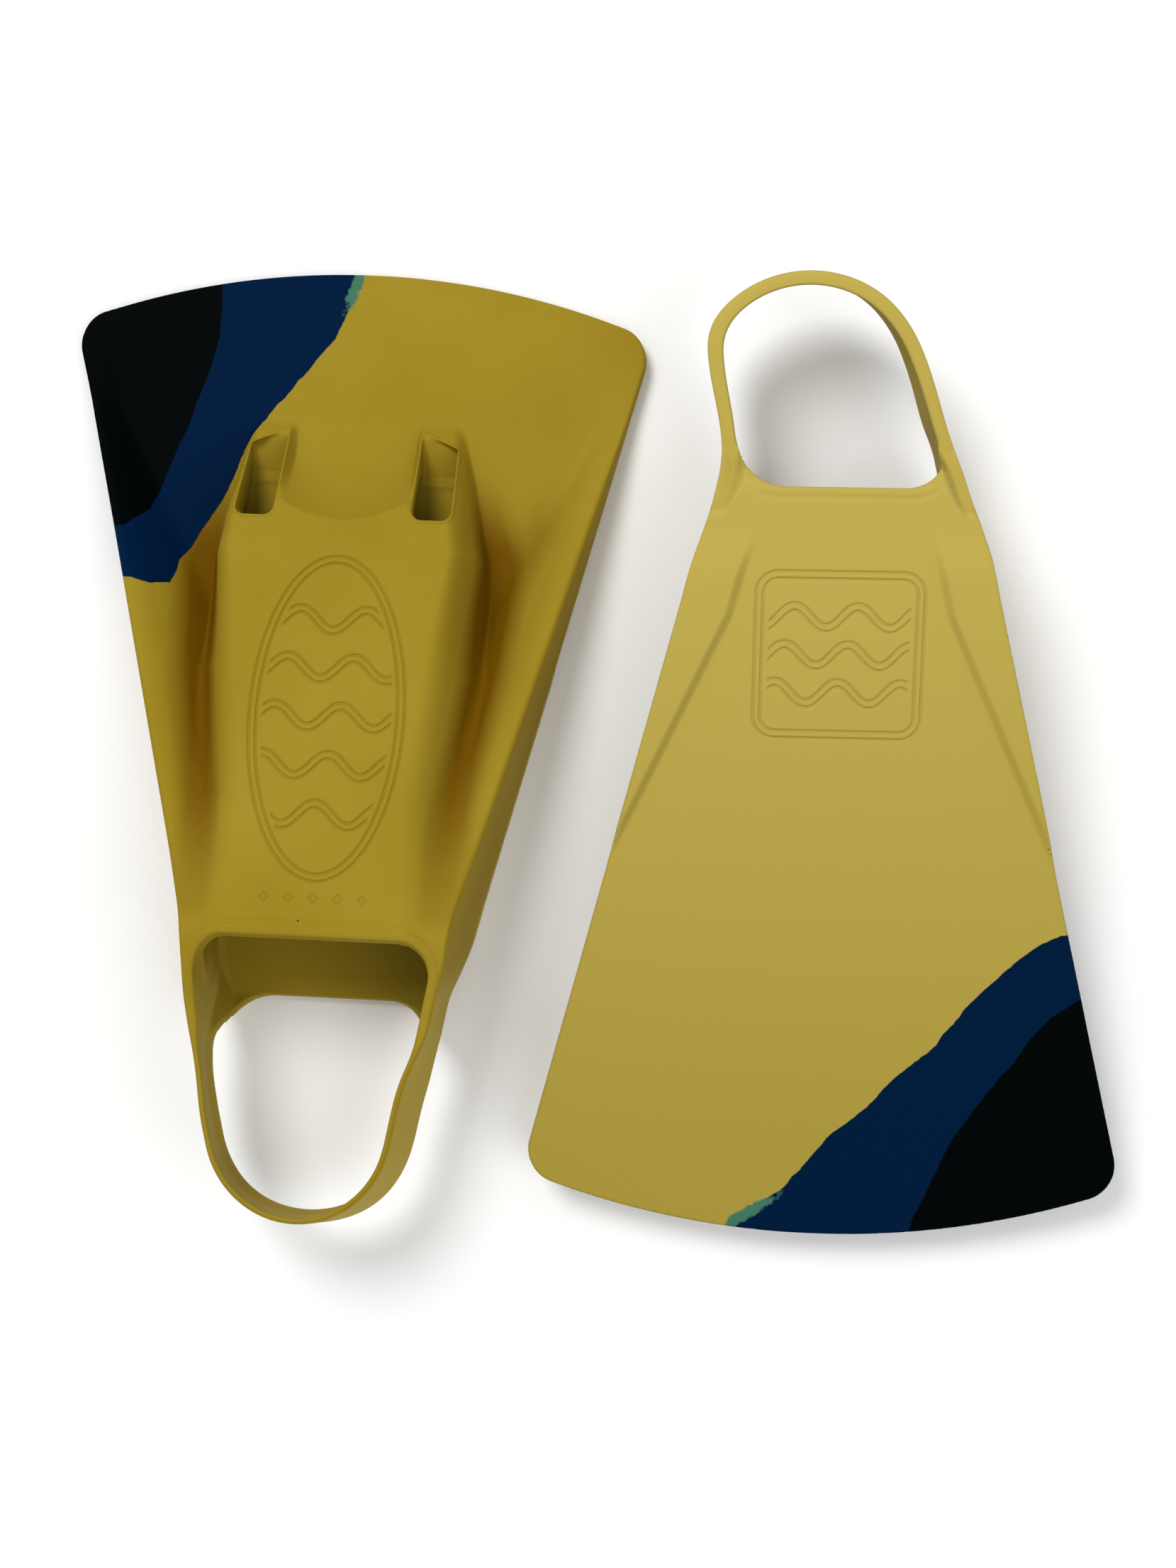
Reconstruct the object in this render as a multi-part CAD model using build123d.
from build123d import *
import math
import os

# A pair of moulded rubber swim fins for bodyboarding, in millimetres, +Z up.
# The left fin lies sole down with its blade to +Y. The right fin is its mirror
# image and lies sole up, with its heel strap to +Y.
#
# Each fin is drawn in its own frame first: the blade's tip on the centre line is
# at the origin, "s" is the distance from the tip towards the heel (s = -Y), X is
# across the foot and Z = 0 is the plane that the sole's two ridges stand on.

# Whole fin
FIN_LENGTH = 378.0            # blade tip to the back of the heel strap
BLADE_HALF_WIDTH = 115.0      # at the widest place, just behind the tip corners
WIDEST_AT = 43.0              # distance of that place from the tip
SIDE_TAPER = 0.258            # half width lost for each millimetre towards the heel
WALL_FLARE = 0.10             # outer walls lean out towards the sole by this much
TIP_RADIUS = 320.0            # the blade's rounded front edge
CORNER_RADIUS = 13.0          # its two front corners

# Web: the flat rubber that is the blade in front and the sole under the foot
WEB_BOTTOM = 3.0
WEB_TOP = 8.0
BLADE_TOP = 7.5
HEEL_EDGE = 295.0             # where the sole stops under the heel

# Side rails, from the blade to the foot opening
RAIL_START = 24.0
RAIL_START_HEIGHT = 7.6
RAIL_FRONT_HEIGHT = 9.5       # at the blade's bending line
RAIL_REAR_HEIGHT = 61.0       # where the rail meets the foot opening
RAIL_REAR = 262.0
RAIL_FRONT_BASE = 15.0        # width of the rail's foot on the web
RAIL_REAR_BASE = 24.0
CREST_EDGE = 3.0              # bevel at the top of the outer wall
CREST_WIDTH = 8.0             # wall to the start of the inner slope
RIDGE_WIDTH = 8.0             # flat ridge under each rail that the fin stands on
RIDGE_TRIM = 1.0              # drawn this much deeper, then cut flat at Z = 0

# Foot pocket: s, half width at the web, half width at the shoulder, crown height
POCKET_SECTIONS = [
    (62.0, 46.0, 44.0, 13.0),
    (100.0, 52.0, 48.0, 38.0),
    (165.0, 49.0, 43.0, 51.0),
    (220.0, 50.0, 41.5, 60.0),
    (264.0, 55.0, 48.5, 68.0),
    (296.0, 47.0, 40.5, 73.0),
]
# Room for the foot, in the same terms
CAVITY_SECTIONS = [
    (84.0, 42.0, 38.0, 24.0),
    (105.0, 47.0, 43.0, 34.5),
    (165.0, 44.0, 38.0, 46.5),
    (220.0, 45.0, 36.5, 55.5),
    (264.0, 49.5, 43.5, 63.5),
    (305.0, 41.0, 34.5, 72.0),
]
SHOULDER_DROP = 7.0
CROWN_INSET = 8.0
RIM_TOP_AT = 272.0            # the foot opening's upper edge

# Drain holes through the pocket's toe end, one on each side of the scoop
DRAIN_INNER = 26.0
DRAIN_OUTER = 42.0
DRAIN_FRONT = 69.0
DRAIN_REAR = 106.0

# Heel strap, a band that bends at its two roots
STRAP_AXIS_S = 286.0
STRAP_AXIS_Z = 42.0
STRAP_HALF_HEIGHT = 16.0
STRAP_THICKNESS = 5.0
STRAP_CLEARANCE = 0.35
STRAP_SWING = 40.0            # degrees each way
STRAP_ROOT_S = 300.0          # the band leaves the rails' taper here
STRAP_END_CENTRE = 340.0      # the rounded end starts here
STRAP_END_HALF = 38.6         # half width there
STRAP_TURN_AT = 0.74          # a place on the rounded end, as a share of its length
STRAP_TURN_HALF = 0.70        # half width there, as a share of the end's
RIGHT_STRAP_SKEW = 18.0       # the right strap lies pulled to one side
SKEW_FROM = 300.0             # the pull starts here
SKEW_OVER = 66.0              # and is complete after this distance

# Blade's bending line
BLADE_AXIS_S = 54.0
BLADE_AXIS_Z = 5.0
BLADE_SWING = 18.0            # degrees each way
BLADE_GAP = 0.3
BLADE_GAP_REACH = 40.0        # the gap's sides lean apart up to this far from the axis
BLADE_BACK = 20.0             # the blade's outline is drawn on this far, then cut
SWING_MARGIN = 1.0            # degrees of extra room past each joint's travel
ROOM_MARGIN = 1.0             # extra length of the strap's room at the heel and rim
ROOM_TOP = 70.0
ROOM_BOTTOM = -5.0
SEAM_TURN = 35.0              # where a cylinder's seam lies, clear of the band's edges

# Coloured rubber on each fin's outer front corner, as outlines of (across, s)
LEFT_BLUE = [
    (-2, -5), (-7, 12), (-12, 26), (-25, 43), (-37, 58), (-47, 76), (-54, 94), (-65, 114),
    (-71, 125), (-73, 134), (-86, 134), (-110, 133), (-130, 60), (-130, -5),
]
LEFT_BLACK = [
    (-60, -5), (-60, 24), (-63, 41), (-70, 65), (-80, 89), (-86, 103), (-92, 110),
    (-110, 112), (-130, 60), (-130, -5),
]
RIGHT_BLUE = [
    (38, -5), (34, 5), (14, 18), (-4, 41), (-19, 54), (-27, 63), (-44, 79), (-55, 94),
    (-64, 104), (-78, 117), (-90, 124), (-110, 127), (-130, 60), (-130, -5),
]
RIGHT_BLACK = [
    (-36, -5), (-43, 19), (-52, 40), (-58, 51), (-66, 62), (-74, 72), (-81, 83), (-89, 91),
    (-97, 97), (-110, 101), (-130, 60), (-130, -5),
]

# How the two fins lie
LEFT_TIP = (-88.0, 202.8)
LEFT_TURN = -2.5
RIGHT_TIP = (96.1, -188.0)
RIGHT_TURN = -1.3
TOE_SECTION = POCKET_SECTIONS[1]
RIM_SECTION = POCKET_SECTIONS[4]
INSTEP_RISE = RIM_SECTION[3] - TOE_SECTION[3]
INSTEP_RUN = RIM_SECTION[0] - TOE_SECTION[0]
RIGHT_TILT = math.degrees(math.atan2(INSTEP_RISE, INSTEP_RUN))   # rests on its instep

TALL = 200.0
WIDE = 150.0


def half_width(s, z=0.0):
    """Half the width of the fin at a distance from the tip and a height."""
    return BLADE_HALF_WIDTH - SIDE_TAPER * (s - WIDEST_AT) - WALL_FLARE * z


def between(s, s0, value0, s1, value1):
    """A straight-line value between two places along the fin."""
    return value0 + (value1 - value0) * (s - s0) / (s1 - s0)


def section_face(s, points):
    """A closed cross-section, given as (across, up), standing at s."""
    corners = [Vector(x, -s, z) for x, z in points]
    return Face(Wire.make_polygon(corners, close=True))


def side_prism(points):
    """A solid from a side-view outline of (s, z) points, running right across."""
    corners = [Vector(-WIDE, -s, z) for s, z in points]
    return extrude(Face(Wire.make_polygon(corners, close=True)), amount=2 * WIDE, dir=(1, 0, 0))


def plan_prism(points):
    """A tall solid from a plan outline of (across, s) points."""
    corners = [Vector(x, -s, -TALL / 2) for x, s in points]
    return extrude(Face(Wire.make_polygon(corners, close=True)), amount=TALL, dir=(0, 0, 1))


def across_cylinder(s, z, radius):
    """A cylinder along X through a side-view point, its seam turned away from the band's edges."""
    return Pos(0, -s, z) * Rot(0, 90, 0) * Rot(0, 0, SEAM_TURN) * Cylinder(radius, 2 * WIDE)


def bending_line_cut(keep_front):
    """The wedge of space on one side of the blade's bending line."""
    lean = math.tan(math.radians(BLADE_SWING / 2 + SWING_MARGIN))
    reach = BLADE_GAP_REACH
    sign = -1.0 if keep_front else 1.0
    far = BLADE_AXIS_S + sign * 2 * TALL
    near = BLADE_AXIS_S + sign * BLADE_GAP / 2
    edge = near + sign * reach * lean
    return side_prism([
        (near, BLADE_AXIS_Z), (edge, BLADE_AXIS_Z + reach), (edge, TALL), (far, TALL),
        (far, -TALL), (edge, -TALL), (edge, BLADE_AXIS_Z - reach),
    ])


def strap_room():
    """Everything behind the foot opening that the strap may swing through."""
    centre_s = STRAP_AXIS_S
    centre_z = STRAP_AXIS_Z
    radius = STRAP_HALF_HEIGHT + STRAP_CLEARANCE
    turn = math.radians(90 + STRAP_SWING + SWING_MARGIN)
    touch_s = centre_s + radius * math.cos(turn)
    rise = radius * math.sin(turn)
    slope = math.tan(math.radians(STRAP_SWING + SWING_MARGIN))
    heel_s = HEEL_EDGE + ROOM_MARGIN
    low_z = centre_z - rise - (heel_s - touch_s) * slope
    wedge = side_prism([
        (RIM_TOP_AT, ROOM_TOP), (touch_s, centre_z + rise), (centre_s, centre_z),
        (touch_s, centre_z - rise), (heel_s, low_z), (heel_s, ROOM_BOTTOM),
        (TALL * 2, ROOM_BOTTOM), (TALL * 2, TALL), (RIM_TOP_AT - ROOM_MARGIN, TALL),
    ])
    return wedge + across_cylinder(centre_s, centre_z, radius)


def rail_base(s):
    """Width of a rail's foot on the web."""
    return between(s, BLADE_AXIS_S, RAIL_FRONT_BASE, RAIL_REAR, RAIL_REAR_BASE)


def rail_section(s, side):
    """One rail's cross-section: flared outer wall, rounded crest, inner slope, ridge."""
    if s < BLADE_AXIS_S:
        height = between(s, RAIL_START, RAIL_START_HEIGHT, BLADE_AXIS_S, RAIL_FRONT_HEIGHT)
    else:
        height = between(s, BLADE_AXIS_S, RAIL_FRONT_HEIGHT, RAIL_REAR, RAIL_REAR_HEIGHT)
    outer = half_width(s)
    foot = half_width(s, -RIDGE_TRIM)
    top = half_width(s, height)
    crest = min(CREST_EDGE, (height - WEB_BOTTOM) / 3)
    inner = outer - rail_base(s)
    points = [
        (foot, -RIDGE_TRIM), (top, height - crest), (top - CREST_EDGE, height),
        (top - CREST_WIDTH, height - crest / 2), (inner, WEB_TOP - RIDGE_TRIM), (inner, WEB_BOTTOM),
        (outer - RIDGE_WIDTH, 0.0), (outer - RIDGE_WIDTH, -RIDGE_TRIM),
    ]
    return section_face(s, [(side * x, z) for x, z in points])


def rail(side, front, rear):
    """A rail between two distances from the tip, on one side (-1 or 1)."""
    above = Pos(0, 0, TALL / 2) * Box(4 * WIDE, 4 * TALL, TALL)
    return loft([rail_section(front, side), rail_section(rear, side)], ruled=True) & above


def web_outline(front, rear):
    """The web between the rails, in plan, tucked against their inner feet."""
    front_half = half_width(front) - rail_base(front)
    rear_half = half_width(rear) - rail_base(rear)
    return [(-front_half, front), (front_half, front), (rear_half, rear), (-rear_half, rear)]


def web(front, rear):
    """The sole's plate between the rails."""
    slab = Pos(0, 0, (WEB_BOTTOM + WEB_TOP) / 2) * Box(4 * WIDE, 4 * TALL, WEB_TOP - WEB_BOTTOM)
    return plan_prism(web_outline(front, rear)) & slab


def blade_outline():
    """The fin's front in plan: an arc at the tip, two round corners, tapering sides."""
    side_s = TIP_RADIUS - math.sqrt(TIP_RADIUS ** 2 - BLADE_HALF_WIDTH ** 2)
    corner = half_width(side_s)
    tip_s = TIP_RADIUS - math.sqrt(TIP_RADIUS ** 2 - corner ** 2)
    rear_s = BLADE_AXIS_S + BLADE_BACK
    rear_half = half_width(rear_s)
    outline = make_face([
        ThreePointArc((-corner, -tip_s), (0, 0), (corner, -tip_s)),
        Line((corner, -tip_s), (rear_half, -rear_s)),
        Line((rear_half, -rear_s), (-rear_half, -rear_s)),
        Line((-rear_half, -rear_s), (-corner, -tip_s)),
    ])
    front_corners = outline.vertices().sort_by(Axis.Y)[-2:]
    return fillet(front_corners, CORNER_RADIUS)


def blade():
    """The thin front of the fin with the first stretch of both rails."""
    outline = blade_outline()
    body = Pos(0, 0, WEB_BOTTOM) * extrude(outline, amount=BLADE_TOP - WEB_BOTTOM, dir=(0, 0, 1))
    for side in (-1, 1):
        body = body + rail(side, RAIL_START, BLADE_AXIS_S)
    return body & extrude(outline, amount=RAIL_REAR_HEIGHT, dir=(0, 0, 1)) & bending_line_cut(True)


def pocket_loft(sections, floor):
    """A hollow-less body through a list of foot-shaped sections."""
    faces = []
    for s, base, shoulder, crown in sections:
        drop = min(SHOULDER_DROP, (crown - floor) / 2)
        right = [(base, floor), (shoulder, crown - drop), (shoulder - CROWN_INSET, crown)]
        left = [(-x, z) for x, z in reversed(right)]
        faces.append(section_face(s, right + left))
    return loft(faces, ruled=True)


def drain_hole(side):
    """One drain hole, cut down through the toe end into the room for the foot."""
    across = side * (DRAIN_INNER + DRAIN_OUTER) / 2
    middle = (DRAIN_FRONT + DRAIN_REAR) / 2
    size = (DRAIN_OUTER - DRAIN_INNER, DRAIN_REAR - DRAIN_FRONT, TALL)
    return Pos(across, -middle, WEB_TOP + TALL / 2) * Box(*size)


def strap_outline(z, inset, skew):
    """The strap's plan at one height, as a closed wire that starts inside the pocket."""
    def shift(s):
        step = min(max((s - SKEW_FROM) / SKEW_OVER, 0.0), 1.0)
        return skew * step * step * (3 - 2 * step)

    front_s = RAIL_REAR
    lean = WALL_FLARE * (z - STRAP_AXIS_Z)
    end_s = FIN_LENGTH - inset - lean - WALL_FLARE * STRAP_HALF_HEIGHT
    mid_s = STRAP_END_CENTRE
    turn_s = mid_s + STRAP_TURN_AT * (end_s - mid_s)
    end_half = STRAP_END_HALF - lean - inset
    halves = [
        (front_s, half_width(front_s, z) - inset),
        (STRAP_ROOT_S, half_width(STRAP_ROOT_S, z) - inset),
        (mid_s, end_half),
        (turn_s, STRAP_TURN_HALF * end_half),
    ]
    right = [Vector(w + shift(s), -s, z) for s, w in halves]
    left = [Vector(-w + shift(s), -s, z) for s, w in reversed(halves)]
    tail = [Vector(shift(end_s), -end_s, z)]
    loop = Edge.make_spline(right + tail + left)
    return Face(Wire([loop, Edge.make_line(left[-1], right[0])]))


def heel_strap(skew):
    """The band round the heel, with round knuckles at its two roots."""
    low = STRAP_AXIS_Z - STRAP_HALF_HEIGHT
    high = STRAP_AXIS_Z + STRAP_HALF_HEIGHT
    outer = loft([strap_outline(low, 0.0, skew), strap_outline(high, 0.0, skew)], ruled=True)
    inner = loft([
        strap_outline(low - 1.0, STRAP_THICKNESS, skew), strap_outline(high + 1.0, STRAP_THICKNESS, skew),
    ], ruled=True)
    behind = side_prism([
        (STRAP_AXIS_S, low), (STRAP_AXIS_S, high), (2 * TALL, high), (2 * TALL, low),
    ])
    front = across_cylinder(STRAP_AXIS_S, STRAP_AXIS_Z, STRAP_HALF_HEIGHT)
    return (outer - inner) & (behind + front)


def one_fin(skew, blue_outline, black_outline):
    """Every piece of a left fin in the fin's own frame."""
    pocket_body = pocket_loft(POCKET_SECTIONS, WEB_TOP)
    cavity = pocket_loft(CAVITY_SECTIONS, WEB_TOP)
    room = strap_room()
    rear = HEEL_EDGE
    behind_line = bending_line_cut(keep_front=False)

    pocket = pocket_body - cavity - room
    for side in (-1, 1):
        pocket = pocket - drain_hole(side)

    sole_plate = web(BLADE_AXIS_S, rear) & behind_line
    rails = {}
    for side in (-1, 1):
        body = rail(side, BLADE_AXIS_S, rear) - pocket_body - cavity - room
        rails[side] = body & behind_line

    front = blade()
    blue = plan_prism(blue_outline)
    black = plan_prism(black_outline)
    outer_front = sole_plate + rails[-1]
    return {
        "sole": sole_plate - blue,
        "foot_pocket": pocket,
        "outer_rail": rails[-1] - blue,
        "inner_rail": rails[1],
        "outer_band_blue": (outer_front & blue) - black,
        "outer_corner_black": outer_front & black,
        "blade_gold": front - blue,
        "blade_blue": (front & blue) - black,
        "blade_black": front & black,
        "heel_strap": heel_strap(skew),
    }


def place_left(piece):
    """Sole down, blade to +Y, turned a little."""
    return Pos(LEFT_TIP[0], LEFT_TIP[1], 0) * Rot(0, 0, LEFT_TURN) * piece


def place_right(piece):
    """Mirrored, sole up, standing on its instep, blade to -Y."""
    turned = Rot(180 + RIGHT_TILT, 0, 0) * mirror(piece, about=Plane.YZ)
    return Pos(RIGHT_TIP[0], RIGHT_TIP[1], 0) * Rot(0, 0, RIGHT_TURN) * turned


def lowest(pieces):
    """The height of the lowest point of several pieces."""
    return min(piece.bounding_box().min.Z for piece in pieces)


left_pieces = one_fin(0.0, LEFT_BLUE, LEFT_BLACK)
right_pieces = one_fin(RIGHT_STRAP_SKEW, RIGHT_BLUE, RIGHT_BLACK)
left_fin = {"left_" + name: place_left(piece) for name, piece in left_pieces.items()}
right_fin = {"right_" + name: place_right(piece) for name, piece in right_pieces.items()}
lift = -lowest(right_fin.values())
right_fin = {name: Pos(0, 0, lift) * piece for name, piece in right_fin.items()}

pair = {**left_fin, **right_fin}
boxes = [piece.bounding_box() for piece in pair.values()]
low = Vector(*(min(getattr(box.min, axis) for box in boxes) for axis in "XYZ"))
high = Vector(*(max(getattr(box.max, axis) for box in boxes) for axis in "XYZ"))
centre = Pos(-(low.X + high.X) / 2, -(low.Y + high.Y) / 2, -low.Z)
print("size", high - low)
print("moved by", centre.position, "right fin lifted by", lift, "and tilted by", RIGHT_TILT)

os.makedirs("parts", exist_ok=True)
for name, piece in pair.items():
    export_step(centre * piece, "parts/" + name + ".step")
